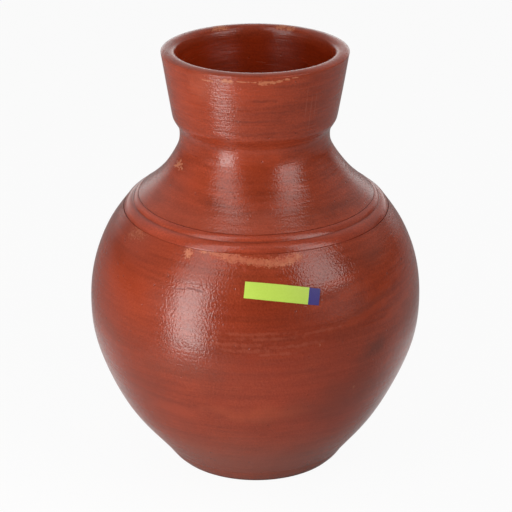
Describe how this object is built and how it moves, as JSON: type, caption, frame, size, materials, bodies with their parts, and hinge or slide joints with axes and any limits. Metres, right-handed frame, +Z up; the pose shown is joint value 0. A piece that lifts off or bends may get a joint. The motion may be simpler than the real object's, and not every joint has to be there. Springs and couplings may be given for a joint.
{
  "type": "terracotta water jar",
  "caption": "Round-bellied terracotta water jar with a drawn-in shoulder, a grooved shoulder band, a narrow neck, a flared collar mouth and a bare paper label.",
  "frame": {"origin": "middle of the foot's underside, on the jar's axis", "axes": "+Z up along the jar's axis, -Y towards the labelled front, +X to the right seen from the front"},
  "size_m": [0.23, 0.23, 0.2946],
  "materials": {
    "burnished_clay": "red clay slip, burnished by hand to a soft shine, fired unglazed",
    "label_paper": "coated paper, lime green with a dark blue end, bare of print"
  },
  "bodies": {
    "root": {"base": "burnished_clay", "belly": "burnished_clay", "shoulder": "burnished_clay", "shoulder_band": "burnished_clay", "collar": "burnished_clay", "label": "label_paper"}
  },
  "joints": []
}
